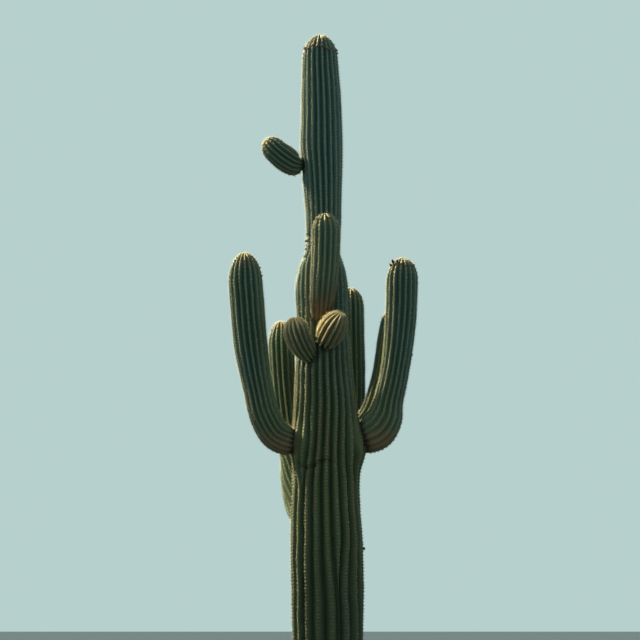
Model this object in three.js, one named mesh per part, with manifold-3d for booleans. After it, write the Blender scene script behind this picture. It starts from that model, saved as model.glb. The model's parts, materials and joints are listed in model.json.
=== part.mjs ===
// A saguaro cactus with a ribbed trunk, six upright arms and three young ones.
// Millimetres, +Z up. The origin is the middle of the flat cut at ground level, and -Y is the front.
import * as THREE from "three";
import { mergeVertices } from "three/addons/utils/BufferGeometryUtils.js";
import Module from "manifold-3d";

const wasm = await Module();
wasm.setup();

const GAP = 0.4; // clearance between pieces that touch
const WELD = 0.001; // points nearer than this are one
const SKIN = { color: 0x3f5240, roughness: 0.8, metalness: 0 };

// A rib of the section, as [share of the pitch, share of the depth]: a valley, then one or two crest points.
const BROAD_RIB = [
  [0, 1],
  [0.32, 0.08],
  [0.68, 0.08],
];
const SHARP_RIB = [
  [0, 1],
  [0.5, 0],
];
const DOME_ANGLES = [28, 50, 68, 81].map(THREE.MathUtils.degToRad); // rings of a rounded tip

// Stations of every limb are [x, y, z, radius over the rib crests], and its rings lie at most ringStep apart.
const TRUNK = {
  ribs: 24,
  ribDepth: 26,
  ringStep: 300,
  stations: [
    [0, 0, 0, 278],
    [2, 0, 120, 260],
    [4, 0, 600, 264],
    [0, 0, 1450, 285],
    [-4, 0, 1780, 285],
    [-12, 0, 2150, 268],
    [-13, 0, 2450, 260],
    [-13, 0, 2770, 254],
    [-24, 0, 3120, 231],
    [-37, 0, 3560, 207],
    [-43, 0, 3880, 206],
    [-43, 0, 3990, 184],
    [-39, 0, 4110, 143],
    [-29, 0, 4340, 142],
    [-36, 0, 4640, 155],
    [-45, 0, 4920, 173],
    [-46, 0, 5300, 165],
    [-56, 0, 5710, 147],
  ],
  tip: [-56, 0, 5922],
};

// The arms start inside the trunk. A bent arm is divided, at the station called bend, into elbow and upright.
const ARM_RING_STEP = 220;
const ARMS = [
  {
    name: "arm_left",
    ribs: 17,
    ribDepth: 20,
    bend: 4,
    stations: [
      [-150, -30, 2592, 90],
      [-290, -67, 2594, 118],
      [-404, -90, 2640, 123],
      [-474, -94, 2748, 124],
      [-546, -95, 3000, 119],
      [-594, -95, 3266, 132],
      [-652, -95, 3850, 137],
    ],
    tip: [-660, -95, 4093],
  },
  {
    name: "arm_right",
    ribs: 16,
    ribDepth: 20,
    bend: 5,
    stations: [
      [150, 0, 2600, 110],
      [290, 0, 2628, 140],
      [385, 0, 2680, 160],
      [452, 0, 2775, 147],
      [482, 0, 2900, 122],
      [520, 0, 3060, 115],
      [591, 0, 3600, 126],
      [601, 0, 3880, 129],
    ],
    tip: [610, 0, 4068],
  },
  {
    name: "arm_rear_left",
    ribs: 14,
    ribDepth: 17,
    bend: 4,
    stations: [
      [-100, 110, 1905, 85],
      [-170, 190, 1985, 104],
      [-225, 252, 2110, 115],
      [-258, 285, 2270, 114],
      [-272, 298, 2470, 107],
      [-308, 297, 2700, 103],
      [-352, 293, 3060, 105],
      [-373, 290, 3400, 107],
    ],
    tip: [-375, 290, 3598],
  },
  {
    name: "arm_rear_right",
    ribs: 15,
    ribDepth: 17,
    bend: 4,
    stations: [
      [0, 150, 2290, 85],
      [45, 340, 2300, 100],
      [126, 480, 2365, 110],
      [180, 545, 2490, 113],
      [196, 560, 2700, 112],
      [198, 560, 3748, 113],
    ],
    tip: [199, 560, 3918],
  },
  {
    name: "arm_far_right",
    ribs: 14,
    ribDepth: 16,
    bend: 3,
    stations: [
      [60, 115, 2625, 70],
      [138, 262, 2635, 80],
      [228, 350, 2700, 92],
      [352, 374, 2840, 97],
      [430, 376, 3030, 100],
      [532, 376, 3560, 102],
    ],
    tip: [549, 376, 3712],
  },
  {
    name: "arm_front",
    ribs: 14,
    ribDepth: 17,
    bend: 3,
    stations: [
      [-50, -100, 3586, 70],
      [-46, -225, 3592, 80],
      [-40, -315, 3650, 94],
      [-30, -350, 3760, 104],
      [-14, -355, 4000, 112],
      [-9, -355, 4205, 114],
    ],
    tip: [-16, -355, 4362],
  },
  {
    name: "bud_left",
    ribs: 15,
    ribDepth: 15,
    stations: [
      [-112, -90, 3238, 60],
      [-166, -205, 3288, 86],
      [-214, -275, 3362, 102],
      [-240, -298, 3430, 103],
    ],
    tip: [-262, -312, 3542],
  },
  {
    name: "bud_right",
    ribs: 14,
    ribDepth: 15,
    stations: [
      [-22, -110, 3380, 60],
      [0, -230, 3392, 90],
      [24, -318, 3424, 107],
      [46, -368, 3462, 108],
    ],
    tip: [108, -436, 3560],
  },
  {
    name: "arm_high_left",
    ribs: 15,
    ribDepth: 15,
    stations: [
      [-110, -15, 4825, 50],
      [-195, -30, 4832, 58],
      [-250, -40, 4828, 91],
      [-315, -46, 4862, 105],
      [-412, -50, 4938, 101],
    ],
    tip: [-500, -50, 5036],
  },
];

// Where the trunk swells to carry an arm: degrees from +X, height, swell, half-width in degrees, half-height.
const SHOULDERS = [
  [-14, 2572, 84, 34, 170],
  [200, 2585, 56, 30, 120],
  [134, 1990, 34, 26, 150],
  [-88, 3500, 16, 30, 110],
  [184, 4830, 8, 30, 90],
];

const point = (row) => new THREE.Vector3(row[0], row[1], row[2]);
const middle = (ring) => ring.reduce((sum, p) => sum.add(p), new THREE.Vector3()).divideScalar(ring.length);

// The smooth row at a distance along the stations: cubic pieces that share their slope where they meet.
function curveThrough(stations) {
  const steps = stations.slice(1).map((row, i) => point(row).distanceTo(point(stations[i])));
  const reach = steps.reduce((sums, step) => [...sums, sums.at(-1) + step], [0]);
  const rates = steps.map((step, i) => stations[i].map((value, k) => (stations[i + 1][k] - value) / step));
  const slope = (i, k) => {
    if (i === 0) return rates[0][k];
    if (i === steps.length) return rates[i - 1][k];
    return (rates[i - 1][k] * steps[i] + rates[i][k] * steps[i - 1]) / (steps[i - 1] + steps[i]);
  };
  const at = (distance) => {
    const next = reach.findIndex((r) => r > distance);
    const piece = next < 0 ? steps.length - 1 : next - 1;
    const f = (Math.min(distance, reach.at(-1)) - reach[piece]) / steps[piece];
    const rise = f * f * (3 - 2 * f);
    const lead = f * (1 - f) ** 2 * steps[piece];
    const trail = f * f * (f - 1) * steps[piece];
    return stations[piece].map((value, k) => {
      const straight = value + (stations[piece + 1][k] - value) * rise;
      return straight + slope(piece, k) * lead + slope(piece + 1, k) * trail;
    });
  };
  return { reach, at };
}

// Distances of the rings: every station, and even steps between stations that are far apart.
function ringDistances(reach, ringStep) {
  const between = reach.slice(1).map((end, i) => {
    const parts = Math.ceil((end - reach[i]) / ringStep);
    return Array.from({ length: parts }, (_, k) => reach[i] + ((end - reach[i]) * (k + 1)) / parts);
  });
  return [0, ...between.flat()];
}

// Polar points [bearing, share of the rib depth] of a section with that many ribs.
function ribSection(ribs, rib) {
  const pitch = (2 * Math.PI) / ribs;
  return Array.from({ length: ribs }, (_, i) => rib.map(([share, dip]) => [(i + share) * pitch, dip])).flat();
}

// A closed solid over rings of equal point count, shut by a fan to a point at each end.
function loft(rings, start, end) {
  const count = rings[0].length;
  const points = [...rings.flat(), start, end];
  const [startIndex, endIndex] = [points.length - 2, points.length - 1];
  const last = (rings.length - 1) * count;
  const faces = [];
  for (let i = 0; i < count; i++) {
    const j = (i + 1) % count;
    faces.push(startIndex, j, i);
    for (let k = 0; k < last; k += count) {
      faces.push(k + i, k + j, k + count + j);
      faces.push(k + i, k + count + j, k + count + i);
    }
    faces.push(endIndex, last + i, last + j);
  }
  const geometry = new THREE.BufferGeometry().setFromPoints(points);
  geometry.setIndex(faces);
  return geometry;
}

function toSolid(geometry) {
  const merged = mergeVertices(geometry, WELD);
  const vertProperties = merged.attributes.position.array;
  const triVerts = new Uint32Array(merged.index.array);
  return new wasm.Manifold(new wasm.Mesh({ numProp: 3, vertProperties, triVerts }));
}

function toGeometry(solid) {
  const { vertProperties, triVerts } = solid.getMesh();
  const geometry = new THREE.BufferGeometry();
  geometry.setAttribute("position", new THREE.BufferAttribute(vertProperties, 3));
  geometry.setIndex(new THREE.BufferAttribute(triVerts, 1));
  return geometry;
}

// How far the trunk swells out at a bearing and height.
function shoulderSwell(bearing, z) {
  return SHOULDERS.reduce((sum, [atDegrees, atZ, swell, halfDegrees, halfZ]) => {
    const turn = bearing - THREE.MathUtils.degToRad(atDegrees);
    const away = Math.atan2(Math.sin(turn), Math.cos(turn)) / THREE.MathUtils.degToRad(halfDegrees);
    return sum + swell * Math.exp(-(away ** 2) - ((z - atZ) / halfZ) ** 2);
  }, 0);
}

// The trunk as level rings, grown outwards by the given clearance.
function trunkGeometry(grow) {
  const { stations, tip, ribs, ribDepth, ringStep } = TRUNK;
  const section = ribSection(ribs, BROAD_RIB);
  const ring = ([x, y, z, radius], depth) =>
    section.map(([bearing, dip]) => {
      const r = radius - depth * dip + shoulderSwell(bearing, z) + grow;
      return new THREE.Vector3(x + r * Math.cos(bearing), y + r * Math.sin(bearing), z);
    });
  const { reach, at } = curveThrough(stations);
  const rings = ringDistances(reach, ringStep).map((distance) => ring(at(distance), ribDepth));
  const [x, y, z, radius] = stations.at(-1);
  for (const angle of DOME_ANGLES) {
    const height = z + (tip[2] - z) * Math.sin(angle);
    rings.push(ring([x, y, height, radius * Math.cos(angle)], ribDepth * Math.cos(angle)));
  }
  return loft(rings, point(stations[0]), point(tip));
}

// The rings of an arm, square to its axis and carried along without twist, and which of them is at the bend.
function armRings({ stations, tip, ribs, ribDepth, bend }) {
  const section = ribSection(ribs, SHARP_RIB);
  const { reach, at } = curveThrough(stations);
  const distances = ringDistances(reach, ARM_RING_STEP);
  const axis = (distance) => point(at(distance));
  const heading = point(tip).sub(point(stations.at(-1))).normalize();
  const side = new THREE.Vector3().crossVectors(axis(1).sub(axis(0)), new THREE.Vector3(0, 0, 1));
  const ring = (centre, direction, radius, depth) => {
    side.addScaledVector(direction, -side.dot(direction)).normalize();
    const across = new THREE.Vector3().crossVectors(direction, side);
    return section.map(([bearing, dip]) => {
      const r = radius - depth * dip;
      const out = side.clone().multiplyScalar(r * Math.cos(bearing));
      return out.addScaledVector(across, r * Math.sin(bearing)).add(centre);
    });
  };
  const rings = distances.map((distance) => {
    const direction = axis(distance + 1).sub(axis(Math.max(0, distance - 1)));
    const along = distance < reach.at(-1) ? direction.normalize() : heading;
    return ring(axis(distance), along, at(distance)[3], ribDepth);
  });
  const [last, radius] = [point(stations.at(-1)), stations.at(-1)[3]];
  for (const angle of DOME_ANGLES) {
    const centre = last.clone().lerp(point(tip), Math.sin(angle));
    rings.push(ring(centre, heading, radius * Math.cos(angle), ribDepth * Math.cos(angle)));
  }
  return { rings, bendRing: bend ? distances.indexOf(reach[bend]) : 0 };
}

// The solids of one arm, trimmed clear of the trunk: elbow and upright, or one piece if it doesn't bend.
function armPieces(arm, trunkSpace) {
  const { rings, bendRing } = armRings(arm);
  const tip = point(arm.tip);
  const trim = (geometry) => toGeometry(toSolid(geometry).subtract(trunkSpace));
  if (!bendRing) return [[arm.name, trim(loft(rings, middle(rings[0]), tip))]];
  const lower = rings.slice(0, bendRing + 1);
  const clear = middle(rings[bendRing + 1]).sub(middle(rings[bendRing - 1])).setLength(GAP);
  const upper = [lower.at(-1).map((p) => p.clone().add(clear)), ...rings.slice(bendRing + 1)];
  return [
    [`${arm.name}_elbow`, trim(loft(lower, middle(lower[0]), middle(lower.at(-1))))],
    [`${arm.name}_upright`, loft(upper, middle(upper[0]), tip)],
  ];
}

function addMesh(group, name, geometry) {
  const mesh = new THREE.Mesh(geometry, new THREE.MeshStandardMaterial(SKIN));
  mesh.name = name;
  group.add(mesh);
}

const cactus = new THREE.Group();
addMesh(cactus, "trunk", trunkGeometry(0));
const trunkSpace = toSolid(trunkGeometry(GAP));
for (const arm of ARMS) {
  for (const [name, geometry] of armPieces(arm, trunkSpace)) addMesh(cactus, name, geometry);
}

export default cactus;
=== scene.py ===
"""A saguaro cactus: its ribbed skin, felted spine clusters and dried husks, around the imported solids."""
import json
import math

import bpy
import numpy as np
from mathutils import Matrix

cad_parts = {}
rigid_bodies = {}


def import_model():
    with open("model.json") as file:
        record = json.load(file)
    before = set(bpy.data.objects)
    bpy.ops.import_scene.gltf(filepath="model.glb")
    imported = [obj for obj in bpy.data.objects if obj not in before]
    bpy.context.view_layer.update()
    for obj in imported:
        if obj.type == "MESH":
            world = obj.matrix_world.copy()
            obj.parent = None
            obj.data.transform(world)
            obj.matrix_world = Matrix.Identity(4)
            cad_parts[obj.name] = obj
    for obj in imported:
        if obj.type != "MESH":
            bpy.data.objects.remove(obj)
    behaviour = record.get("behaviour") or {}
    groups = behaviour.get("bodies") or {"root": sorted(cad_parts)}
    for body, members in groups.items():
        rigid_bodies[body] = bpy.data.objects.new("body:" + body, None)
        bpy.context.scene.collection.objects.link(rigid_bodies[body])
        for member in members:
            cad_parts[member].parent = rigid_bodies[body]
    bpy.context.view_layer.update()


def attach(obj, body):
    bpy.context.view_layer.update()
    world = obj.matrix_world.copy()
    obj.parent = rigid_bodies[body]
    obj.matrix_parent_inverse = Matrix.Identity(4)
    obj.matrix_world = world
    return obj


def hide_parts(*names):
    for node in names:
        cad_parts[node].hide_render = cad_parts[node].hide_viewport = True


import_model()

TAU = 2 * math.pi
BODY = "root"

# The limbs. A station is (x, y, z, radius over the rib crests), in metres. The valley says where one
# valley of an arm lies, in degrees to the right of its front, and the twist how far its ribs turn.
TRUNK = dict(
    ribs=24, depth=0.042, tip=(-0.056, 0, 5.922),
    stations=[
        (0.000, 0, 0.000, 0.278),
        (0.002, 0, 0.120, 0.260),
        (0.004, 0, 0.600, 0.264),
        (0.000, 0, 1.450, 0.285),
        (-0.004, 0, 1.780, 0.285),
        (-0.012, 0, 2.150, 0.268),
        (-0.013, 0, 2.450, 0.260),
        (-0.013, 0, 2.770, 0.254),
        (-0.024, 0, 3.120, 0.231),
        (-0.037, 0, 3.560, 0.207),
        (-0.043, 0, 3.880, 0.206),
        (-0.043, 0, 3.990, 0.184),
        (-0.039, 0, 4.110, 0.143),
        (-0.029, 0, 4.340, 0.142),
        (-0.036, 0, 4.640, 0.155),
        (-0.045, 0, 4.920, 0.173),
        (-0.046, 0, 5.300, 0.165),
        (-0.056, 0, 5.710, 0.147),
    ],
)
WHOLE_ARMS = ("bud_left", "bud_right", "arm_high_left")  # the others have an elbow and an upright
ARMS = dict(
    arm_left=dict(
        ribs=17, depth=0.034, valley=-9, tip=(-0.660, -0.095, 4.093),
        stations=[
            (-0.150, -0.030, 2.592, 0.090),
            (-0.290, -0.067, 2.594, 0.118),
            (-0.404, -0.090, 2.640, 0.123),
            (-0.474, -0.094, 2.748, 0.124),
            (-0.546, -0.095, 3.000, 0.119),
            (-0.594, -0.095, 3.266, 0.132),
            (-0.652, -0.095, 3.850, 0.137),
        ],
    ),
    arm_right=dict(
        ribs=16, depth=0.035, valley=1, tip=(0.610, 0, 4.068),
        stations=[
            (0.150, 0, 2.600, 0.110),
            (0.290, 0, 2.628, 0.140),
            (0.385, 0, 2.680, 0.160),
            (0.452, 0, 2.775, 0.147),
            (0.482, 0, 2.900, 0.122),
            (0.520, 0, 3.060, 0.115),
            (0.591, 0, 3.600, 0.126),
            (0.601, 0, 3.880, 0.129),
        ],
    ),
    arm_rear_left=dict(
        ribs=14, depth=0.031, valley=-10, tip=(-0.375, 0.290, 3.598),
        twist=90,
        stations=[
            (-0.100, 0.110, 1.905, 0.085),
            (-0.170, 0.190, 1.985, 0.104),
            (-0.225, 0.252, 2.110, 0.115),
            (-0.258, 0.285, 2.270, 0.114),
            (-0.272, 0.298, 2.470, 0.107),
            (-0.308, 0.297, 2.700, 0.103),
            (-0.352, 0.293, 3.060, 0.105),
            (-0.373, 0.290, 3.400, 0.107),
        ],
    ),
    arm_rear_right=dict(
        ribs=15, depth=0.031, valley=10, tip=(0.199, 0.560, 3.918),
        stations=[
            (0, 0.150, 2.290, 0.085),
            (0.045, 0.340, 2.300, 0.100),
            (0.126, 0.480, 2.365, 0.110),
            (0.180, 0.545, 2.490, 0.113),
            (0.196, 0.560, 2.700, 0.112),
            (0.198, 0.560, 3.748, 0.113),
        ],
    ),
    arm_far_right=dict(
        ribs=14, depth=0.028, valley=-5, tip=(0.549, 0.376, 3.712),
        stations=[
            (0.060, 0.115, 2.625, 0.070),
            (0.138, 0.262, 2.635, 0.080),
            (0.228, 0.350, 2.700, 0.092),
            (0.352, 0.374, 2.840, 0.097),
            (0.430, 0.376, 3.030, 0.100),
            (0.532, 0.376, 3.560, 0.102),
        ],
    ),
    arm_front=dict(
        ribs=14, depth=0.031, valley=9, tip=(-0.016, -0.355, 4.362),
        stations=[
            (-0.050, -0.100, 3.586, 0.070),
            (-0.046, -0.225, 3.592, 0.080),
            (-0.040, -0.315, 3.650, 0.094),
            (-0.030, -0.350, 3.760, 0.104),
            (-0.014, -0.355, 4.000, 0.112),
            (-0.009, -0.355, 4.205, 0.114),
        ],
    ),
    bud_left=dict(
        ribs=15, depth=0.026, valley=0, tip=(-0.262, -0.312, 3.542),
        stations=[
            (-0.112, -0.090, 3.238, 0.060),
            (-0.166, -0.205, 3.288, 0.086),
            (-0.214, -0.275, 3.362, 0.102),
            (-0.240, -0.298, 3.430, 0.103),
        ],
    ),
    bud_right=dict(
        ribs=14, depth=0.028, valley=4, tip=(0.108, -0.436, 3.560),
        stations=[
            (-0.022, -0.110, 3.380, 0.060),
            (0, -0.230, 3.392, 0.090),
            (0.024, -0.318, 3.424, 0.107),
            (0.046, -0.368, 3.462, 0.108),
        ],
    ),
    arm_high_left=dict(
        ribs=15, depth=0.025, valley=-6, tip=(-0.500, -0.050, 5.036),
        stations=[
            (-0.110, -0.015, 4.825, 0.050),
            (-0.195, -0.030, 4.832, 0.058),
            (-0.250, -0.040, 4.828, 0.091),
            (-0.315, -0.046, 4.862, 0.105),
            (-0.412, -0.050, 4.938, 0.101),
        ],
    ),
)

# Where the trunk swells to carry an arm: bearing from +X in degrees, height, swell, half-width in degrees
# and half-height.
SHOULDERS = [
    (-14, 2.572, 0.084, 34, 0.170),
    (200, 2.585, 0.056, 30, 0.120),
    (134, 1.990, 0.034, 26, 0.150),
    (-88, 3.500, 0.016, 30, 0.110),
    (184, 4.830, 0.008, 30, 0.090),
]
# How far the trunk's ribs part round the foot of an arm, as a share of their distance from it.
RIB_PARTING = 0.30

# The trunk's first valley: heights, and how many degrees to the right of the front it is there.
FRONT_VALLEY = [(1.3, -4.5), (1.7, -8.5), (2.25, -8.5), (2.9, -1.5), (4.0, 0.0), (4.7, 2.0), (5.6, -2.0)]
ABOVE_TIP = 9.0
# Trunk ribs that are only there part of the way up: number, counted to the right from the first valley, the
# heights where it begins and ends, and half the height over which it does so.
PART_RIBS = [
    (21, 2.32, ABOVE_TIP, 0.10),
    (8, 2.45, 3.95, 0.10),
    (11, 1.30, 3.90, 0.12),
    (14, 2.35, 4.00, 0.10),
    (17, 2.60, 3.92, 0.10),
]
FADED_RIB = 0.01  # how much of its width a rib keeps where it isn't there
# On the front a rib begins between two others, which widen as it narrows, and so do the next two: number,
# height, and half the height over which it begins, then who takes up its width.
FRONT_RIB = (1, 1.62, 0.26)
FRONT_RIB_SHARES = {-2: 0.2, -1: 0.3, 1: 0.3, 2: 0.2}
# Furrows across the trunk's ribs: bearing and half-width in degrees, height, depth and half-thickness.
CREASES = [
    (-114, 32, 2.400, 0.016, 0.014),
    (-166, 44, 4.165, 0.012, 0.010),
    (-172, 40, 4.225, 0.008, 0.009),
    (-160, 30, 4.045, 0.008, 0.010),
]
CREASE_ROLL = 0.4  # the roll above a furrow, as a share of its depth
# A furrow's line waves up and down by this many half-thicknesses, so many times round the trunk.
CREASE_WAVE = 2.14
CREASE_WAVES = 5

SKIN_INSET = 0.002  # the skin's crests lie this far inside the stations' radius
# The power of the cosine in the ribs' section: low on the trunk, and higher up and on the arms.
BROAD_RIBS = 0.75
NARROW_RIBS = 1.45
# How much of their depth the ribs lose where an arm meets the trunk.
JOINT_FLATTENING = 0.50
LONGEST_NECK = 0.17
TWISTED = (0.15, 0.85)  # distances along an arm between which its ribs turn
ARM_PINCH = 0.014  # how deep the joint's crease is on the arm
TRUNK_PINCH = 0.006
PINCH_REACH = 0.030
WIDTH_NOISE = 0.03
DEPTH_NOISE = 0.10
CREST_NOISE = 0.0025
# Wavelength along a rib, and share, of each wave of its noise.
WAVES = [(0.90, 0.5), (0.37, 0.3), (0.17, 0.2)]

# Distance between rings of the skin and samples across a rib, and the rings of a dome.
TRUNK_RING, TRUNK_SAMPLES = 0.023, 12
ARM_RING, ARM_SAMPLES = 0.014, 10
DOME_RINGS = 15
CREASE_RING, CREASE_REACH = 0.006, 0.05  # finer rings, to this far above and below a crease

# Spacing of the spine clusters along a rib.
AREOLE_STEP = 0.026
ARM_AREOLE_STEP = 0.023
BUD_AREOLE_STEP = 0.014
LEAST_RIB = 0.35  # a trunk rib that has less than this share of its width carries no clusters
SPINES_PER_AREOLE = 12
CENTRAL_SPINES = 4  # those of them that are long and stand up
# Least and greatest tilt from straight out, in radians, and length; then the distance from axis to edge.
CENTRAL_TILT, CENTRAL_LENGTH, CENTRAL_GIRTH = (0.25, 0.95), (0.016, 0.030), 0.0009
LOW_TILT, LOW_LENGTH, LOW_GIRTH = (1.05, 1.45), (0.010, 0.019), 0.0006
SAG = 0.12
MOST_PROUD = 0.012  # about how far a spine stands out from its rib at most
ASLANT = (0.3, 0.5, 0.81)  # a direction to cross axes with
TRUNK_BANDS = [0, 1.5, 3.0, 4.5, 6.5]  # heights between which the trunk's spines make one piece each

BUD_YOUTH_AND_LIGHT = {"bud_left": 0.6, "bud_right": 1.0}  # how young and golden their whole skin is; that the right bud is more golden than the left is painted light

# Flower scars in rings round a tip: limb, share of the way up its dome, share of the ribs with one, size.
SCAR_RINGS = [
    ("trunk", 0.24, 0.95, 0.013),
    ("trunk", 0.48, 0.3, 0.008),
    ("arm_right", 0.45, 0.9, 0.010),
    ("arm_left", 0.50, 0.5, 0.008),
    ("arm_front", 0.45, 0.5, 0.008),
    ("arm_rear_right", 0.40, 0.5, 0.008),
    ("arm_rear_left", 0.45, 0.4, 0.008),
]
# Corky knobs: limb, height, degrees to the right of its front, and size.
KNOBS = [
    ("trunk", 1.750, 84, 0.020),
    ("trunk", 4.205, -78, 0.013),
    ("trunk", 4.140, -84, 0.012),
    ("trunk", 5.300, 70, 0.008),
    ("arm_left", 3.970, 78, 0.009),
    ("arm_left", 3.905, 86, 0.009),
    ("arm_right", 3.300, 70, 0.010),
]
# Withered fruits that still hang on: limb, height, degrees to the right of its front, and length.
WITHERED = [
    ("arm_right", 4.012, -66, 0.042),
    ("arm_right", 4.022, -44, 0.030),
    ("arm_right", 4.000, -88, 0.026),
    ("arm_left", 4.045, 36, 0.016),
]
# The kinds of husk: name, colour and width as a share of the length.
HUSKS = [
    ("flower_scars", (0.200, 0.095, 0.055), 1.0),
    ("corky_knobs", (0.130, 0.100, 0.062), 0.8),
    ("withered_fruits", (0.030, 0.020, 0.013), 0.28),
]
# How corky the feet of some arms are, where an old arm's counts as 1.
CORKY = {"arm_front": 1.2, "arm_rear_left": 0.3, "bud_left": 0.3, "bud_right": 0.3, "arm_high_left": 0.2}
# Heights between which the trunk's foot turns to bark, and how far its bark reaches round old arms.
FOOT_BARK = (0.75, 0.05)
ARM_BARK = 0.09
# Heights between which the trunk's skin goes from new to old, and those between which painted shade darkens
# it further towards its foot.
AGEING = (4.7, 2.2)
PAINTED_SHADE_LOW = (2.2, 1.2)
JOINT_SHADE = 0.022  # how far the painted shade of a joint reaches


def smooth_step(low, high, value):
    """0 below low, 1 above high, and the cubic 3t^2 - 2t^3 between them."""
    t = np.clip((value - low) / (high - low), 0, 1)
    return t * t * (3 - 2 * t)


def unit(vectors):
    """Each vector divided by its length."""
    return vectors / np.linalg.norm(vectors, axis=-1, keepdims=True)


def turn_between(a, b):
    """The turn from bearing b to bearing a, brought between minus and plus half a circle."""
    return (a - b + math.pi) % TAU - math.pi


def shoulder_at(shoulder, bearing, z):
    """The turn from a shoulder, and its share of its swell: exp(-(turn / width)^2 - (rise / height)^2)."""
    at, height, _, half_width, half_height = shoulder
    turn = turn_between(bearing, math.radians(at))
    return turn, np.exp(-((turn / math.radians(half_width)) ** 2) - ((z - height) / half_height) ** 2)


class CentreLine:
    """Smooth numbers along stations: cubic pieces that share their slope where they meet, then a dome.

    Between stations a and b, h apart, with slopes m and n, at the share f of the way, the value is
    a + (b - a) f^2 (3 - 2f) + h m f (1 - f)^2 + h n f^2 (f - 1).
    Past the last station the centre runs on to the tip as the sine of an angle that grows from 0 to a
    quarter turn, while the radius shrinks as its cosine.
    """

    def __init__(self, stations, tip):
        self.rows = np.array(stations, float)
        self.tip = np.array(tip, float)
        self.steps = np.linalg.norm(np.diff(self.rows[:, :3], axis=0), axis=1)
        self.reach = np.concatenate([[0], np.cumsum(self.steps)])
        rates = np.diff(self.rows, axis=0) / self.steps[:, None]
        before, after = self.steps[:-1, None], self.steps[1:, None]
        inner = (rates[:-1] * after + rates[1:] * before) / (before + after)
        self.slopes = np.vstack([rates[:1], inner, rates[-1:]])
        self.body_length = self.reach[-1]
        self.dome_length = np.linalg.norm(self.tip - self.rows[-1, :3])
        self.length = self.body_length + self.dome_length

    def dome_angle(self, s):
        """The dome's angle at distance s, 0 at its foot and a quarter turn at the tip."""
        return np.clip((s - self.body_length) / self.dome_length, 0, 1) * (math.pi / 2)

    def at(self, s):
        """Centres and radii at the distances s."""
        body = np.clip(s, 0, self.body_length)
        i = np.clip(np.searchsorted(self.reach, body, side="right") - 1, 0, len(self.steps) - 1)
        h = self.steps[i][:, None]
        f = (body - self.reach[i])[:, None] / h
        a, b = self.rows[i], self.rows[i + 1]
        row = a + (b - a) * f * f * (3 - 2 * f)
        row += h * self.slopes[i] * f * (1 - f) ** 2 + h * self.slopes[i + 1] * f * f * (f - 1)
        angle = self.dome_angle(s)
        centre = row[:, :3] + (self.tip - self.rows[-1, :3]) * np.sin(angle)[:, None]
        return centre, row[:, 3] * np.cos(angle)


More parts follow.
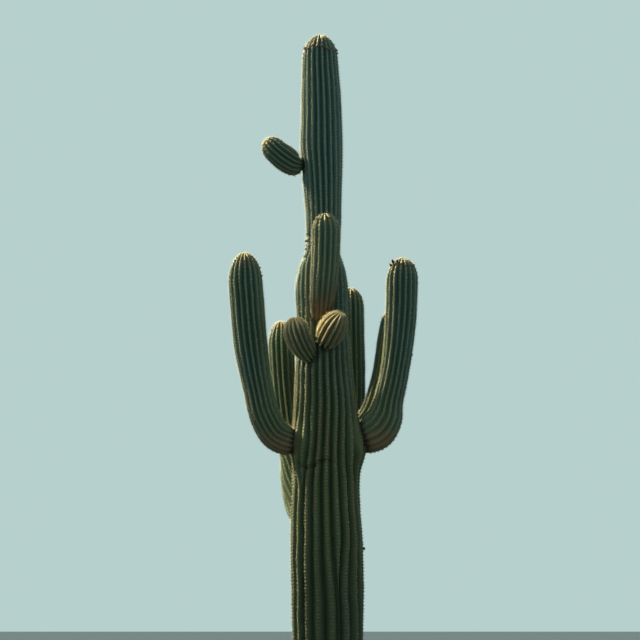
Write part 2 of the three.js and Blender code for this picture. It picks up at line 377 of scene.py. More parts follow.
class Limb:
    """A ribbed limb. A place on its skin is s, the distance along it, and q, which counts ribs.

    Valleys lie at whole q and crests half-way between. The skin is at the bearing of q round the centre
    line, and its radius is the station radius less the rib depth times 1 - |cos(pi u)|^k, where u runs from
    -1/2 in one valley to 1/2 in the next. The widths and depths of the ribs vary slowly along them. The neck
    is how far from a joint the ribs are flattened, and the pinch is the depth of the joint's crease.
    """

    FRAME_SAMPLES = 400
    neck = 0.10
    pinch = 0.0

    def __init__(self, name, stations, tip, ribs, depth, seed, level=False):
        self.name = name
        self.nodes = (name,)
        self.line = CentreLine(stations, tip)
        self.ribs = ribs
        self.depth = depth
        self.level = level
        self.random = np.random.default_rng(seed)
        shape = (3, ribs, len(WAVES))
        self.phases = self.random.uniform(0, TAU, shape)
        self.table = np.linspace(0, self.line.length, self.FRAME_SAMPLES)
        self.sides = self.carried_sides()

    def carried_sides(self):
        """The side direction at each sample, carried along the line without twist."""
        self.headings = self.heading_samples()
        side = np.cross(self.headings[0], (0, 0, 1)) if not self.level else np.array((1.0, 0, 0))
        sides = np.empty_like(self.headings)
        for k, heading in enumerate(self.headings):
            side = side - side.dot(heading) * heading
            side = side / np.linalg.norm(side)
            sides[k] = side
        return sides

    def heading_samples(self):
        """The direction of the centre line at each sample: straight up for level rings."""
        if self.level:
            return np.tile((0.0, 0, 1), (self.FRAME_SAMPLES, 1))
        reach = 0.01
        ahead = self.line.at(np.minimum(self.table + reach, self.line.length))[0]
        behind = self.line.at(np.maximum(self.table - reach, 0))[0]
        heading = unit(ahead - behind)
        to_tip = unit(self.line.tip - self.line.rows[-1, :3])
        blend = smooth_step(self.line.body_length - 0.08, self.line.body_length, self.table)[:, None]
        return unit(heading * (1 - blend) + to_tip * blend)

    def frame_at(self, s):
        """The side and across directions at the distances s."""
        heading = unit(np.stack([np.interp(s, self.table, self.headings[:, k]) for k in range(3)], -1))
        side = np.stack([np.interp(s, self.table, self.sides[:, k]) for k in range(3)], -1)
        side = unit(side - (side * heading).sum(-1, keepdims=True) * heading)
        return side, np.cross(heading, side)

    def noise(self, layer, s):
        """A slow wave for every rib at each s: a sum of sines whose phases differ from rib to rib."""
        lengths = np.array([w for w, _ in WAVES])
        shares = np.array([a for _, a in WAVES])
        return (np.sin(TAU * s[:, None, None] / lengths + self.phases[layer]) * shares).sum(-1)

    def rib_presence(self, s):
        """1 where a rib is there; ribs that end fall to nearly 0."""
        return np.ones((len(s), self.ribs))

    def from_joint(self, points):
        """How far points on the skin are from the nearest joint of arm and trunk."""
        raise NotImplementedError

    def ring_places(self, step):
        """Distances of the skin's rings below the dome."""
        return np.linspace(0, self.line.body_length, int(round(self.line.body_length / step)) + 1)

    def part_ribs(self, bearings, s):
        """Bearings moved aside round the feet of arms. An arm has none."""
        return bearings

    def first_valley(self, s):
        """Bearing of the valley before rib 0."""
        return np.zeros(len(s))

    def valley_bearings(self, s):
        """Bearings of the valleys, one more than there are ribs: running sums of the ribs' widths."""
        widths = self.rib_presence(s) * (1 + WIDTH_NOISE * self.noise(0, s))
        edges = np.concatenate([np.zeros((len(s), 1)), np.cumsum(widths, axis=1)], axis=1)
        bearings = edges / edges[:, -1:] * TAU + self.first_valley(s)[:, None]
        return self.part_ribs(bearings, s)

    def rib_depth(self, s):
        """How deep the valleys are, in proportion on a thin limb, and nothing at the tip."""
        widest = self.line.rows[:, 3].max()
        slim = 0.35 + 0.65 * self.line.at(np.minimum(s, self.line.body_length))[1] / widest
        return self.depth * slim * np.cos(self.line.dome_angle(s)) ** 0.8

    def sharpness(self, s):
        """The power k of the ribs' section."""
        return np.full(len(s), NARROW_RIBS)

    def extra_radius(self, s, bearing, centre):
        """Swellings and furrows of one limb only."""
        return np.zeros(len(s))

    def skin(self, s, q):
        """Points on the skin, and how near each is to its crest: 1 on a crest and 0 in a valley."""
        s = np.clip(s, 0, self.line.length)
        rib = np.floor(q).astype(int) % self.ribs
        u = q - np.floor(q) - 0.5
        valleys = self.valley_bearings(s)
        row = np.arange(len(s))
        left, right = valleys[row, rib], valleys[row, rib + 1]
        bearing = left + (right - left) * (u + 0.5)
        width = (right - left) * self.ribs / TAU
        crest = np.abs(np.cos(math.pi * u)) ** self.sharpness(s)
        centre, radius = self.line.at(s)
        side, across = self.frame_at(s)
        out = side * np.cos(bearing)[:, None] + across * np.sin(bearing)[:, None]
        away = self.from_joint(centre + out * radius[:, None])
        round_off = np.cos(self.line.dome_angle(s))
        depth = self.rib_depth(s) * np.clip(width, 0, 1.2) * (1 + DEPTH_NOISE * self.noise(1, s)[row, rib])
        depth = depth * (1 - JOINT_FLATTENING * (1 - smooth_step(0, self.neck, away)))
        r = radius - SKIN_INSET * round_off - depth * (1 - crest)
        r = r + CREST_NOISE * self.noise(2, s)[row, rib] * crest * round_off
        r = r + self.extra_radius(s, bearing, centre)
        r = r - self.pinch * np.exp(-((np.maximum(away, 0) / PINCH_REACH) ** 2)) * round_off
        return centre + out * r[:, None], crest

    def crest_frames(self, s, q):
        """Point, tangent towards the tip, sideways and outward directions on the skin at s and q."""
        small = 0.004
        here = self.skin(s, q)[0]
        along = self.skin(s + small, q)[0] - self.skin(s - small, q)[0]
        around = self.skin(s, q + 0.1)[0] - self.skin(s, q - 0.1)[0]
        tangent = unit(along)
        outward = unit(np.cross(around, tangent))
        return here, tangent, np.cross(outward, tangent), outward


class Trunk(Limb):
    """The trunk: level rings, ribs that begin or end on the way up, creases, and swellings for the arms."""

    pinch = TRUNK_PINCH
    front = -math.pi / 2
    arms = ()

    def rib_presence(self, s):
        """The share of its width that each rib has, as its neighbours take up what the front rib lacks."""
        present = np.ones((len(s), self.ribs))
        for rib, low, high, fade in PART_RIBS:
            begun = smooth_step(low - fade, low + fade, s)
            ended = smooth_step(high - fade, high + fade, s)
            present[:, rib] = FADED_RIB + (1 - FADED_RIB) * begun * (1 - ended)
        rib, middle, fade = FRONT_RIB
        lost = (1 - FADED_RIB) * (1 - smooth_step(middle - fade, middle + fade, s))
        present[:, rib] -= lost
        for step, share in FRONT_RIB_SHARES.items():
            present[:, (rib + step) % self.ribs] += share * lost
        return present

    def sharpness(self, s):
        """Broad ribs low down and narrow ones above."""
        return BROAD_RIBS + (NARROW_RIBS - BROAD_RIBS) * smooth_step(2.6, 4.2, s)

    def ring_places(self, step):
        """Even rings, with finer ones at the creases."""
        fine = [np.arange(z - CREASE_REACH, z + CREASE_REACH, CREASE_RING) for _, _, z, _, _ in CREASES]
        return np.unique(np.concatenate([super().ring_places(step), *fine]).round(4))

    def from_joint(self, points, arms=None):
        """How far points are from the nearest arm's skin near its foot, for some arms or for all."""
        nearest = np.full(len(points), 1.0)
        for arm in arms or self.arms:
            s = np.linspace(0, arm.leaves_at + 0.2, 24)
            centre, radius = arm.line.at(s)
            low, high = centre[:, 2].min() - 0.4, centre[:, 2].max() + 0.4
            near = np.flatnonzero((points[:, 2] > low) & (points[:, 2] < high))
            gaps = np.linalg.norm(points[near, None, :] - centre[None], axis=-1) - radius
            nearest[near] = np.minimum(nearest[near], gaps.min(axis=1))
        return nearest

    def first_valley(self, s):
        """Bearing of the front valley, which wanders with the height."""
        heights, degrees = np.transpose(FRONT_VALLEY)
        return np.radians(np.interp(s, heights, degrees)) + self.front

    def beyond(self, points):
        """How far points lie outside the rib crests."""
        rows = self.line.rows
        z = points[:, 2]
        x = np.interp(z, rows[:, 2], rows[:, 0])
        radius = np.interp(z, rows[:, 2], rows[:, 3])
        bearing = np.arctan2(points[:, 1], points[:, 0] - x)
        return np.hypot(points[:, 0] - x, points[:, 1]) - radius - self.swell(bearing, z)

    def swell(self, bearing, z):
        """How far the shoulders stand out at a bearing and height."""
        extra = np.zeros(len(z))
        for shoulder in SHOULDERS:
            _, swell = shoulder_at(shoulder, bearing, z)
            extra += shoulder[2] * swell
        return extra

    def part_ribs(self, bearings, s):
        """Bearings moved away from each shoulder's own, by a share of the turn between them."""
        z = self.line.at(s)[0][:, 2:3]
        for shoulder in SHOULDERS:
            turn, swell = shoulder_at(shoulder, bearings, z)
            bearings = bearings + RIB_PARTING * turn * swell
        return bearings

    def crease_places(self, bearing, z):
        """For each crease: its depth, its share at the bearing, and the height over its wavy line."""
        for at, half_width, height, depth, half_thickness in CREASES:
            turn = turn_between(bearing, math.radians(at))
            spread = np.exp(-((turn / math.radians(half_width)) ** 4))
            rise = (z - height) / half_thickness + CREASE_WAVE * np.sin(CREASE_WAVES * bearing)
            yield depth, spread, rise

    def extra_radius(self, s, bearing, centre):
        """The shoulders, less the creases, each with a low roll above it."""
        z = centre[:, 2]
        extra = self.swell(bearing, z)
        for depth, spread, rise in self.crease_places(bearing, z):
            roll = CREASE_ROLL * np.exp(-(((rise - 2.6) / 1.8) ** 2))
            extra += depth * spread * (roll - np.exp(-(rise**2)))
        return extra

    def creased(self, points):
        """How near points are to the bottom of a crease: 1 in it."""
        bearing = np.arctan2(points[:, 1], points[:, 0])
        most = np.zeros(len(points))
        for _, spread, rise in self.crease_places(bearing, points[:, 2]):
            most = np.maximum(most, spread * np.exp(-(rise**2)))
        return most


class Arm(Limb):
    """An arm: a pinched neck, shallow ribs where it leaves the trunk, and perhaps a twisted elbow."""

    pinch = ARM_PINCH

    def __init__(self, *args, trunk, valley, twist=0, **settings):
        super().__init__(*args, **settings)
        if self.name not in WHOLE_ARMS:
            self.nodes = (self.name + "_elbow", self.name + "_upright")
        self.twist = math.radians(twist)
        self.trunk = trunk
        self.neck = min(LONGEST_NECK, 0.25 * self.line.length)
        s = np.linspace(0, self.line.body_length, 300)
        self.leaves_at = s[np.argmax(trunk.beyond(self.line.at(s)[0]) > 0)]
        side, across = self.frame_at(s[-1:])
        self.front = math.atan2(-across[0, 1], -side[0, 1])
        self.start = self.front + math.radians(valley)

    def from_joint(self, points):
        """How far points are outside the trunk."""
        return self.trunk.beyond(points)

    def first_valley(self, s):
        """Bearing of the first valley, turned by the whole twist at the arm's foot."""
        return self.start + self.twist * (1 - smooth_step(*TWISTED, s))


def in_limb(limb, points, share):
    """Whether points lie within that share of the limb's radius, near its foot."""
    s = np.linspace(0, min(0.6, limb.line.body_length), 40)
    centre, radius = limb.line.at(s)
    away = np.linalg.norm(points[:, None, :] - centre[None], axis=-1) / (radius * share)
    return (away < 1).any(axis=1)


def make_mesh(name, points, quads, triangles):
    """A smooth mesh from arrays: the corners of all faces in one row, and where each face starts in it."""
    mesh = bpy.data.meshes.new(name)
    mesh.vertices.add(len(points))
    mesh.vertices.foreach_set("co", np.ascontiguousarray(points, np.float32).ravel())
    corners = np.concatenate([quads.ravel(), triangles.ravel()]).astype(np.int32)
    starts = np.concatenate([np.arange(len(quads)) * 4, quads.size + np.arange(len(triangles)) * 3])
    mesh.loops.add(len(corners))
    mesh.loops.foreach_set("vertex_index", corners)
    mesh.polygons.add(len(starts))
    mesh.polygons.foreach_set("loop_start", starts.astype(np.int32))
    mesh.polygons.foreach_set("use_smooth", np.ones(len(starts), bool))
    mesh.update(calc_edges=True)
    mesh.validate()
    obj = bpy.data.objects.new(name, mesh)
    bpy.context.scene.collection.objects.link(obj)
    return obj


def add_attribute(obj, name, values):
    """A number for each vertex, which materials read by name."""
    layer = obj.data.attributes.new(name, "FLOAT", "POINT")
    layer.data.foreach_set("value", np.ascontiguousarray(values, np.float32))


def fit_to_plant(obj, materials, nodes=()):
    """Gives a finished piece its materials, attaches it to the plant's body and hides the solids it stands
    for.
    """
    for material in materials:
        obj.data.materials.append(material)
    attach(obj, BODY)
    if nodes:
        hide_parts(*nodes)


def skin_mesh(limb, ring_step, samples_per_rib):
    """The limb's skin on a grid of s and q, shut by a fan at its foot and at the tip."""
    line = limb.line
    body = limb.ring_places(ring_step)
    dome = line.body_length + line.dome_length * np.arange(1, DOME_RINGS + 1) / (DOME_RINGS + 0.6)
    s = np.concatenate([body, dome])
    q = np.arange(limb.ribs * samples_per_rib) / samples_per_rib
    rows, columns = len(s), len(q)
    grid_s, grid_q = np.repeat(s, columns), np.tile(q, rows)
    points, crest = limb.skin(grid_s, grid_q)
    foot = line.at(s[:1])[0]
    points = np.vstack([points, foot, line.tip[None]])
    index = np.arange(rows * columns).reshape(rows, columns)
    after = np.roll(index, -1, axis=1)
    quads = np.stack([index[:-1], after[:-1], after[1:], index[1:]], -1).reshape(-1, 4)
    foot_fan = np.stack([np.full(columns, rows * columns), after[0], index[0]], -1)
    tip_fan = np.stack([np.full(columns, rows * columns + 1), index[-1], after[-1]], -1)
    obj = make_mesh(limb.name + "_skin", points, quads, np.vstack([foot_fan, tip_fan]))
    s_all = np.concatenate([grid_s, [0, line.length]])
    q_all = np.concatenate([grid_q, [0, 0]])
    add_attribute(obj, "crest", np.concatenate([crest, [0, 1]]))
    add_attribute(obj, "along", s_all)
    add_attribute(obj, "rib_phase", np.floor(q_all) * 0.618)
    return obj, points, s_all


class Value:
    """A shader socket that Python's operators work on: each adds one Math node."""

    def __init__(self, finish, socket):
        self.finish = finish
        self.socket = socket

    def math(self, operation, *others):
        sockets = dict(enumerate((self, *others)))
        return self.finish.node("ShaderNodeMath", 0, {"operation": operation}, sockets)

    def __add__(self, other):
        return self.math("ADD", other)

    def __sub__(self, other):
        return self.math("SUBTRACT", other)

    def __mul__(self, other):
        return self.math("MULTIPLY", other)

    def __truediv__(self, other):
        return self.math("DIVIDE", other)

    __radd__ = __add__

    def step(self, low, high):
        """0 below low, 1 above high and smooth between; falling where low is above high."""
        settings = {"interpolation_type": "SMOOTHSTEP"}
        sockets = {"Value": self, "From Min": low, "From Max": high}
        return self.finish.node("ShaderNodeMapRange", "Result", settings, sockets)


class Finish:
    """A material that is built up node by node."""

    def __init__(self, name):
        self.material = bpy.data.materials.new(name)
        self.material.use_nodes = True
        self.tree = self.material.node_tree
        self.tree.nodes.clear()

    def node(self, kind, output, settings=None, sockets=None):
        """Adds a node with these settings, socket values and links, and gives one output, if asked for."""
        made = self.tree.nodes.new(kind)
        for key, setting in (settings or {}).items():
            setattr(made, key, setting)
        for key, value in (sockets or {}).items():
            socket = made.inputs[key]
            if isinstance(value, Value):
                self.tree.links.new(value.socket, socket)
            elif isinstance(value, tuple) and len(value) == 3 and socket.type == "RGBA":
                socket.default_value = (*value, 1)
            else:
                socket.default_value = value
        return None if output is None else Value(self, made.outputs[output])

    def attribute(self, name):
        """A mesh attribute's number at the point."""
        return self.node("ShaderNodeAttribute", "Fac", {"attribute_name": name})

    def noise(self, position, scale, detail=3.0, roughness=0.55):
        """Noise between 0 and 1 with that many waves to the metre."""
        sockets = {"Vector": position, "Scale": scale, "Detail": detail, "Roughness": roughness}
        return self.node("ShaderNodeTexNoise", 0, None, sockets)

    def mix(self, factor, a, b):
        """Colour a where the factor is 0 and colour b where it is 1."""
        sockets = {0: factor, 6: a, 7: b}
        return self.node("ShaderNodeMix", 2, {"data_type": "RGBA"}, sockets)

    def stretched(self, position, x, y, z):
        """The position multiplied by a number along each axis."""
        sockets = {0: position, 1: (x, y, z)}
        return self.node("ShaderNodeVectorMath", 0, {"operation": "MULTIPLY"}, sockets)

    def surface(self, colour, roughness, normal=None, **plain):
        """Ends the material in one Principled surface, with further sockets by name."""
        sockets = {"Base Color": colour, "Roughness": roughness}
        if normal is not None:
            sockets["Normal"] = normal
        sockets.update({key.replace("_", " "): value for key, value in plain.items()})
        shader = self.node("ShaderNodeBsdfPrincipled", "BSDF", None, sockets)
        self.node("ShaderNodeOutputMaterial", None, None, {"Surface": shader})
        return self.material


# The skin's colours: new skin is high up, and old skin low down.
# The valleys' darker colours are partly the skin's own and partly painted shade in the rib valleys.
VALLEY_NEW = (0.038, 0.080, 0.060)
VALLEY_OLD = (0.017, 0.032, 0.015)
FLANK_NEW = (0.050, 0.108, 0.098)
FLANK_OLD = (0.037, 0.056, 0.021)
CREST_NEW = (0.150, 0.205, 0.165)
CREST_OLD = (0.090, 0.104, 0.042)
CREST_RUST = (0.130, 0.085, 0.046)
RUST = (0.055, 0.033, 0.018)
CORK_BROWN = (0.158, 0.098, 0.046)
CORK_GREY = (0.170, 0.138, 0.082)
TIP_BROWN = (0.230, 0.160, 0.078)
DUSTY = (0.170, 0.190, 0.065)
# Painted shade: the nearly black colour laid into joints and creases.
PAINTED_SHADE_COLOUR = (0.010, 0.008, 0.006)


def skin_finish():
    """Waxy skin: dark valleys, partly painted shade, pale crests, blue-green when new, olive when old, corky
    at joints and foot.

    It reads how near each point is to a crest, how corky, old and young the skin is there, with painted
    shade low on the trunk, and how much painted shade lies in a joint or crease. The buds' young colour is
    partly painted light. Dust lies where cork begins, and the areoles' notches run along the crests.
    """
    f = Finish("cactus_skin")
    position = f.node("ShaderNodeTexCoord", "Object")
    crest = f.attribute("crest")
    cork = f.attribute("cork")
    age = f.attribute("age")
    young = f.attribute("young")
    broad = f.noise(position, 2.2)
    mottle = f.noise(position, 38.0, 4.0)
    grain = f.noise(position, 260.0, 4.0, 0.7)
    streak = f.noise(f.stretched(position, 16.0, 16.0, 1.3), 1.0, 3.0)
    old = (age + (broad - 0.5) * 0.5).step(0.0, 1.0)
    flank = f.mix(old, FLANK_NEW, FLANK_OLD)
    flank = f.mix(streak.step(0.52, 0.72) * old * 0.6, flank, RUST)
    # Darker valleys: partly the skin's own colour and partly painted shade.
    colour = f.mix(crest.step(0.0, 0.48), f.mix(old, VALLEY_NEW, VALLEY_OLD), flank)
    ridge = f.mix(old, CREST_NEW, CREST_OLD)
    ridge = f.mix(streak.step(0.50, 0.68) * old * 0.8, ridge, CREST_RUST)
    edge = crest.step(0.78, 0.99) * (0.55 + mottle * 0.6)
    colour = f.mix(edge, colour, ridge)
    # Painted shade: the trunk darker low down, towards the old valleys' colour.
    colour = f.mix(age.step(1.0, 1.5) * 0.45, colour, VALLEY_OLD)
    # Golden-brown young skin near the tips and over the buds; on the right bud it is partly painted light.
    colour = f.mix(young.step(0.2, 1.0) * (0.55 + grain * 0.5) * (0.3 + crest * 0.7), colour, TIP_BROWN)
    colour = f.mix(cork.step(0.0, 0.25) * 0.22, colour, DUSTY)
    bark = f.mix(grain.step(0.35, 0.65), CORK_BROWN, CORK_GREY)
    corky = (cork + (mottle - 0.5) * 0.9 * cork.step(0.0, 0.3)).step(0.30, 0.75)
    colour = f.mix(corky, colour, bark)
    # Painted shade, nearly black, in the joints of arms and trunk and in the trunk's creases.
    colour = f.mix(f.attribute("hollow") * 0.85, colour, PAINTED_SHADE_COLOUR)
    phase = f.attribute("along") / AREOLE_STEP + f.attribute("rib_phase")
    furrow = (phase * TAU).math("COSINE") * crest.step(0.55, 0.95)
    height = furrow * 0.0012 + mottle * 0.0016 + grain * 0.0007 + corky * grain * 0.003
    bump = f.node("ShaderNodeBump", 0, None, {"Height": height, "Distance": 1.0, "Strength": 0.8})
    roughness = 0.50 + grain * 0.22 + corky * 0.2
    return f.surface(colour, roughness, bump, Specular_IOR_Level=0.3)


def plain_finish(name, colour, roughness, shade=0.35):
    """One dry colour that varies a little from place to place."""
    f = Finish(name)
    position = f.node("ShaderNodeTexCoord", "Object")
    mottle = f.noise(position, 60.0, 2.0)
    darker = tuple(c * (1 - shade) for c in colour)
    return f.surface(f.mix(mottle.step(0.3, 0.7), colour, darker), roughness, None, Specular_IOR_Level=0.3)


def areoles(limb, step):
    """Places of the spine clusters: even steps along every crest from its own start, up to the tip."""
    line = limb.line
    starts = limb.random.uniform(0, 1, limb.ribs) * step
    count = int((line.length - 0.01) / step)
    s = (starts[:, None] + step * np.arange(count)[None]).ravel()
    s = s + limb.random.normal(0, 0.06 * step, len(s))
    q = np.repeat(np.arange(limb.ribs) + 0.5, count)
    keep = (s > 0.03) & (np.cos(line.dome_angle(s)) > 0.13)
    return s[keep], q[keep]


class Cluster:
    """Spine clusters of one limb: where they sit, which way they face, and how near the tip they are."""

    def __init__(self, limb, step, trunk, arms):
        s, q = areoles(limb, step)
        if isinstance(limb, Trunk):
            there = limb.rib_presence(s)[np.arange(len(s)), np.floor(q).astype(int)] > LEAST_RIB
            s, q = s[there], q[there]
        place, tangent, sideways, outward = limb.crest_frames(s, q)
        if isinstance(limb, Trunk):
            free = ~np.any([in_limb(arm, place, 0.97) for arm in arms], axis=0)
            free &= place[:, 2] > 0.04
        else:
            free = trunk.beyond(place) > 0.004
        self.limb = limb
        self.s = s[free]
        self.place = place[free]
        self.tangent = tangent[free]
        self.sideways = sideways[free]
        self.outward = outward[free]
        newest = smooth_step(limb.line.body_length - 0.15, limb.line.length, self.s)
        # The buds' youth also sets their spines; on the right bud it is partly painted light.
        self.young = np.maximum(newest, BUD_YOUTH_AND_LIGHT.get(limb.name, 0.0))
        self.worn = np.zeros(len(self.s))
        if limb is not trunk and limb.name not in BUD_YOUTH_AND_LIGHT:
            near = smooth_step(0.45, 0.15, self.s - limb.leaves_at)
            self.worn = near * smooth_step(0.3, -0.2, self.outward[:, 2])


def pad_mesh(name, clusters):
    """Felt pads: flat eight-faced lumps, longer along the rib, one for each cluster."""
    half_length, half_width, half_height = 0.0055, 0.0042, 0.0028
    points = []
    for c in clusters:
        size = limb_scale(c)[:, None]
        corners = [
            c.tangent * half_length,
            c.sideways * half_width,
            -c.tangent * half_length,
            -c.sideways * half_width,
            c.outward * half_height,
            -c.outward * half_height,
        ]
        points.append(np.stack([c.place + corner * size for corner in corners], axis=1))
    points = np.concatenate(points)
    ring = np.arange(4)
    after = (ring + 1) % 4
    top = np.stack([ring, after, np.full(4, 4)], -1)
    under = np.stack([after, ring, np.full(4, 5)], -1)
    faces = np.vstack([top, under])[None] + 6 * np.arange(len(points))[:, None, None]
    return make_mesh(name, points.reshape(-1, 3), np.empty((0, 4), int), faces.reshape(-1, 3))


def limb_scale(c):
    """How large clusters are: a little smaller on arms and towards the tip."""
    return (1.0 if isinstance(c.limb, Trunk) else 0.85) * (1 - 0.25 * c.young)


def across_axis(axis):
    """Two directions across each axis: one of unit length, and its cross product with the axis."""
    first = unit(np.cross(axis, ASLANT))
    return first, np.cross(axis, first)


def spine_mesh(name, c, pick):
    """Spines as closed three-sided needles, each with its material.

    A needle starts at its cluster and runs along outward cos a + (tangent cos b + sideways sin b) sin a,
    with a slight sag. The angle b goes round the cluster. The angle a is wide for most spines, which spread
    low, and narrower for the long ones, which stand up.
    """
    random = c.limb.random
    n = int(pick.sum())
    count = SPINES_PER_AREOLE
    shape = (n, count)
    central = np.arange(count) < CENTRAL_SPINES
    even = np.arange(count) * (TAU / (count - CENTRAL_SPINES))
    round_angle = even[None] + random.normal(0, 0.25, shape)
    round_angle = np.where(central, random.uniform(0, TAU, shape), round_angle)
    tilt = np.where(central, random.uniform(*CENTRAL_TILT, shape), random.uniform(*LOW_TILT, shape))
    length = np.where(central, random.uniform(*CENTRAL_LENGTH, shape), random.uniform(*LOW_LENGTH, shape))
    length = length * limb_scale(c)[pick][:, None]
    length = np.minimum(length, MOST_PROUD / np.cos(tilt))
    tangent, sideways, outward = (v[pick][:, None, :] for v in (c.tangent, c.sideways, c.outward))
    a, b = tilt[..., None], round_angle[..., None]
    axis = outward * np.cos(a) + (tangent * np.cos(b) + sideways * np.sin(b)) * np.sin(a)
    axis = unit(axis + (0, 0, -SAG)).reshape(-1, 3)
    base = np.repeat(c.place[pick], count, axis=0) + axis * 0.001
    first, second = across_axis(axis)
    thick = np.tile(np.where(central, CENTRAL_GIRTH, LOW_GIRTH), n)[:, None]
    turns = (0, TAU / 3, 2 * TAU / 3)
    corners = [base + thick * (first * math.cos(t) + second * math.sin(t)) for t in turns]
    corners.append(base + axis * length.reshape(-1, 1))
    points = np.stack(corners, axis=1)
    needle = np.array([(0, 1, 3), (1, 2, 3), (2, 0, 3), (0, 2, 1)])
    faces = needle[None] + 4 * np.arange(len(points))[:, None, None]
    obj = make_mesh(name, points.reshape(-1, 3), np.empty((0, 4), int), faces.reshape(-1, 3))
    chosen = deal_spines(random, *(np.repeat(v[pick], count) for v in (c.place[:, 2], c.young, c.worn)))
    obj.data.polygons.foreach_set("material_index", np.repeat(chosen, len(needle)).astype(np.int32))
    return obj


def deal_spines(random, height, young, worn):
    """The finish of each spine: 0 straw, 1 grey, 2 russet; more grey low down and near joints."""
    grey = np.clip(0.75 - 0.13 * height, 0.15, 0.8) * (1 - young)
    grey = grey + (0.95 - grey) * worn
    russet = 0.06 + 0.15 * young
    draw = random.uniform(0, 1, len(height))
    return np.where(draw < grey, 1, np.where(draw < grey + russet, 2, 0))


def husk_row(limb, height, degrees, size):
    """A husk's limb, s, q and size, on the crest nearest to a height and to degrees right of the front."""
    samples = np.linspace(0, limb.line.length, 2000)
    s = samples[np.argmin(np.abs(limb.line.at(samples)[0][:, 2] - height))]
    valleys = limb.valley_bearings(np.array([s]))[0]
    crests = (valleys[:-1] + valleys[1:]) / 2
    rib = np.argmin(np.abs(turn_between(crests, limb.front + math.radians(degrees))))
    return limb, s, rib + 0.5, size


def lump_mesh(name, random, places, directions, lengths, widths):
    """Closed uneven lumps along their directions: three jittered rings of corners between two ends."""
    count, sides = len(places), 6
    first, second = across_axis(directions)
    angles = (np.arange(sides) * (TAU / sides))[None, :, None]
    around = first[:, None] * np.cos(angles) + second[:, None] * np.sin(angles)
    rows = [places[:, None] - directions[:, None] * lengths[:, None, None] * 0.3]
    for share, girth in ((0.0, 0.85), (0.35, 1.0), (0.75, 0.7)):
        swell = widths[:, None] * girth * random.uniform(0.75, 1.2, (count, sides))
        centres = places[:, None] + directions[:, None] * (lengths * share)[:, None, None]
        rows.append(centres + around * swell[..., None])
    rows.append(places[:, None] + directions[:, None] * lengths[:, None, None])
    points = np.concatenate(rows, axis=1)
    ring = np.arange(sides)
    after = (ring + 1) % sides
    faces = [np.stack([np.zeros(sides, int), after + 1, ring + 1], -1)]
    for low in (1, 1 + sides):
        high = low + sides
        faces.append(np.stack([low + ring, low + after, high + after], -1))
        faces.append(np.stack([low + ring, high + after, high + ring], -1))
    faces.append(np.stack([high + ring, high + after, np.full(sides, high + sides)], -1))
    faces = np.vstack(faces)[None] + points.shape[1] * np.arange(count)[:, None, None]
    return make_mesh(name, points.reshape(-1, 3), np.empty((0, 4), int), faces.reshape(-1, 3))


def make_husks(limbs):
    """Flower scars in rings round the tips, corky knobs on the ribs, and withered fruits."""
    random = np.random.default_rng(5)
    scars = []
    for name, share, kept, size in SCAR_RINGS:
        limb = limbs[name]
        for rib in np.flatnonzero(random.uniform(0, 1, limb.ribs) < kept):
            s = limb.line.body_length + limb.line.dome_length * (share + random.normal(0, 0.035))
            scars.append((limb, s, rib + 0.5, size * random.uniform(0.7, 1.25)))
    knobs = [husk_row(limbs[name], *place) for name, *place in KNOBS]
    fruits = [husk_row(limbs[name], *place) for name, *place in WITHERED]
    for (name, colour, girth), rows in zip(HUSKS, (scars, knobs, fruits)):
        frames = [limb.crest_frames(np.array([s]), np.array([q])) for limb, s, q, _ in rows]
        places = np.concatenate([place for place, _, _, _ in frames])
        lean = np.concatenate([outward + 0.35 * tangent for _, tangent, _, outward in frames])
        directions = unit(lean + random.normal(0, 0.15, lean.shape))
        lengths = np.array([length for _, _, _, length in rows])
        obj = lump_mesh(name, random, places, directions, lengths, lengths * girth)
        fit_to_plant(obj, [plain_finish(name, colour, 0.85, 0.4)])


def joint_shade(away):
    """How much painted shade lies in the crease of a joint: 1 there and nearly 0 a few centimetres off:
    exp(-(away / reach)^2).
    """
    return np.exp(-((np.maximum(away, 0) / JOINT_SHADE) ** 2))


def trunk_marks(trunk, points):
    """How much painted shade the trunk's skin has in joints and creases, and how corky and old it is: bark
    at its foot and round old arms, with painted shade darkening it low down.
    """
    z = points[:, 2]
    # Painted shade in the joints with the arms and in the creases.
    hollow = np.maximum(0.6 * joint_shade(trunk.from_joint(points)), 0.5 * trunk.creased(points))
    barked = [arm for arm in trunk.arms if CORKY.get(arm.name, 1.0) >= 1]
    cork = 0.9 * smooth_step(*FOOT_BARK, z)
    cork += 0.5 * smooth_step(ARM_BARK, 0.0, trunk.from_joint(points, barked))
    # Its age, with painted shade low down added on top.
    return hollow, cork, smooth_step(*AGEING, z) + 0.5 * smooth_step(*PAINTED_SHADE_LOW, z)


def arm_marks(arm, points, s):
    """How much painted shade lies in an arm's joint, and how corky and old its skin is: bark near its joint,
    most of it on the underside.
    """
    away = arm.from_joint(points)
    outward = points - arm.line.at(s)[0]
    rise = outward[:, 2] / np.maximum(np.linalg.norm(outward, axis=1), 1e-6)
    down = np.clip(0.35 - rise, 0, 1)
    cork = smooth_step(2.6 * arm.neck, 0.2 * arm.neck, away) * (0.35 + 0.65 * down)
    cork *= CORKY.get(arm.name, 1.0)
    return joint_shade(away), cork, 0.4 + 0.1 * smooth_step(0.7, 0.1, s - arm.leaves_at)


def make_skin(limb, finish):
    """A limb's skin, with the attributes that its finish reads."""
    if isinstance(limb, Trunk):
        obj, points, s = skin_mesh(limb, TRUNK_RING, TRUNK_SAMPLES)
        marks = trunk_marks(limb, points)
    else:
        obj, points, s = skin_mesh(limb, ARM_RING, ARM_SAMPLES)
        marks = arm_marks(limb, points, s)
    newest = smooth_step(limb.line.body_length - 0.06, limb.line.length, s)
    # The buds' youth, partly painted light on the right bud.
    add_attribute(obj, "young", np.maximum(newest, BUD_YOUTH_AND_LIGHT.get(limb.name, 0.0)))
    for name, values in zip(("hollow", "cork", "age"), marks):
        add_attribute(obj, name, values)
    fit_to_plant(obj, [finish], limb.nodes)


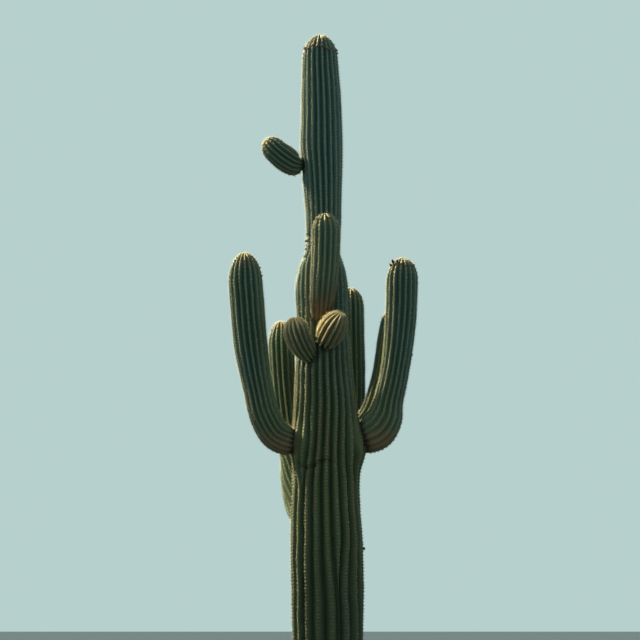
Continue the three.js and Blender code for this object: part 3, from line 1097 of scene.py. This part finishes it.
def make_plant():
    """The skins, the felt pads, the spines and the husks of the trunk and of every arm."""
    trunk = Trunk("trunk", seed=11, level=True, **TRUNK)
    arms = [Arm(name, seed=20 + k, trunk=trunk, **sizes) for k, (name, sizes) in enumerate(ARMS.items())]
    trunk.arms = arms
    limbs = [trunk, *arms]
    skin = skin_finish()
    for limb in limbs:
        make_skin(limb, skin)
    steps = {"trunk": AREOLE_STEP, "bud_left": BUD_AREOLE_STEP, "bud_right": BUD_AREOLE_STEP}
    clusters = [Cluster(limb, steps.get(limb.name, ARM_AREOLE_STEP), trunk, arms) for limb in limbs]
    felt = plain_finish("areole_felt", (0.092, 0.098, 0.070), 0.95)
    spines = [
        plain_finish("spine_straw", (0.60, 0.57, 0.36), 0.5, 0.25),
        plain_finish("spine_grey", (0.20, 0.20, 0.15), 0.6, 0.25),
        plain_finish("spine_russet", (0.20, 0.11, 0.055), 0.5, 0.25),
    ]
    fit_to_plant(pad_mesh("trunk_felt", clusters[:1]), [felt])
    fit_to_plant(pad_mesh("arm_felt", clusters[1:]), [felt])
    height = clusters[0].place[:, 2]
    for band, (low, high) in enumerate(zip(TRUNK_BANDS, TRUNK_BANDS[1:])):
        obj = spine_mesh(f"trunk_spines_{band}", clusters[0], (height >= low) & (height < high))
        fit_to_plant(obj, spines)
    for c in clusters[1:]:
        obj = spine_mesh(c.limb.name + "_spines", c, np.ones(len(c.place), bool))
        fit_to_plant(obj, spines)
    make_husks({limb.name: limb for limb in limbs})


EYE = (-0.058, -14.0, 1.5)
PITCH = math.radians(8.4)
LENS = 99.5
LIGHT_COLOUR = (1.0, 0.86, 0.52)
SURROUND_COLOUR = (0.47, 0.63, 0.61)
FLOOR_COLOUR = (0.36, 0.36, 0.35)
FLOOR_HALF = 40.0
# A lamp: name, place, the point it faces, size and power in watts.
KEY = ("key", (-16.5, 13.3, 22.4), (0, 0, 3.2), 1.6, 56000)
# Two lamps on the left each light a few limbs only, whose names begin as given.
SIDE_PLACE, SIDE_AIM, SIDE_SIZE = (-8.0, -1.6, 11.5), (0, -0.3, 3.4), 1.0
SIDE_LAMPS = [
    ("side", 6600, ("bud_right",)),
    ("faint_side", 1800, ("bud_left", "arm_rear_left")),
]


def make_camera():
    """The photo's view: from the height of standing eyes, fourteen metres away, looking up a little."""
    camera = bpy.data.cameras.new("camera")
    camera.lens = LENS
    camera.sensor_width = 36
    camera.clip_end = 500
    obj = bpy.data.objects.new("camera", camera)
    obj.location = EYE
    obj.rotation_euler = (math.pi / 2 + PITCH, 0, 0)
    bpy.context.scene.collection.objects.link(obj)
    bpy.context.scene.camera = obj


def area_light(name, place, aim, size, power):
    """A square soft light at a place, turned to the aim, that the camera doesn't see."""
    lamp = bpy.data.lights.new(name, "AREA")
    lamp.size = size
    lamp.energy = power
    lamp.color = LIGHT_COLOUR
    obj = bpy.data.objects.new(name, lamp)
    obj.location = place
    direction = np.array(aim, float) - np.array(place, float)
    yaw = math.atan2(-direction[0], direction[1])
    lift = math.atan2(direction[2], math.hypot(direction[0], direction[1]))
    obj.rotation_euler = (math.pi / 2 + lift, 0, yaw)
    obj.visible_camera = False
    bpy.context.scene.collection.objects.link(obj)
    return obj


def group_of(name, objects):
    """A collection that isn't in the scene, for a lamp to name what it lights."""
    group = bpy.data.collections.new(name)
    for obj in objects:
        group.objects.link(obj)
    return group


def make_studio():
    """A pale floor, a pale even surround, a warm lamp behind on the left, and two for a few limbs.

    The warm lamp lights the plant and leaves out the floor.
    """
    scene = bpy.context.scene
    world = bpy.data.worlds.new("surround")
    world.use_nodes = True
    background = world.node_tree.nodes["Background"]
    background.inputs["Color"].default_value = (*SURROUND_COLOUR, 1)
    background.inputs["Strength"].default_value = 1.0
    scene.world = world
    scene.view_settings.view_transform = "Standard"
    h = FLOOR_HALF
    points = np.array([(-h, -h, 0), (h, -h, 0), (h, h, 0), (-h, h, 0)])
    floor = make_mesh("floor", points, np.array([[0, 1, 2, 3]]), np.empty((0, 3), int))
    floor.data.materials.append(plain_finish("floor_pale", FLOOR_COLOUR, 0.9, 0.03))
    key = area_light(*KEY)
    unlit = group_of("not_lit_by_key", [floor])
    unlit.collection_objects[0].light_linking.link_state = "EXCLUDE"
    key.light_linking.receiver_collection = unlit
    for name, power, limbs in SIDE_LAMPS:
        side = area_light(name, SIDE_PLACE, SIDE_AIM, SIDE_SIZE, power)
        lit = group_of("lit_by_" + name, [obj for obj in bpy.data.objects if obj.name.startswith(limbs)])
        side.light_linking.receiver_collection = lit


make_camera()
make_plant()
make_studio()
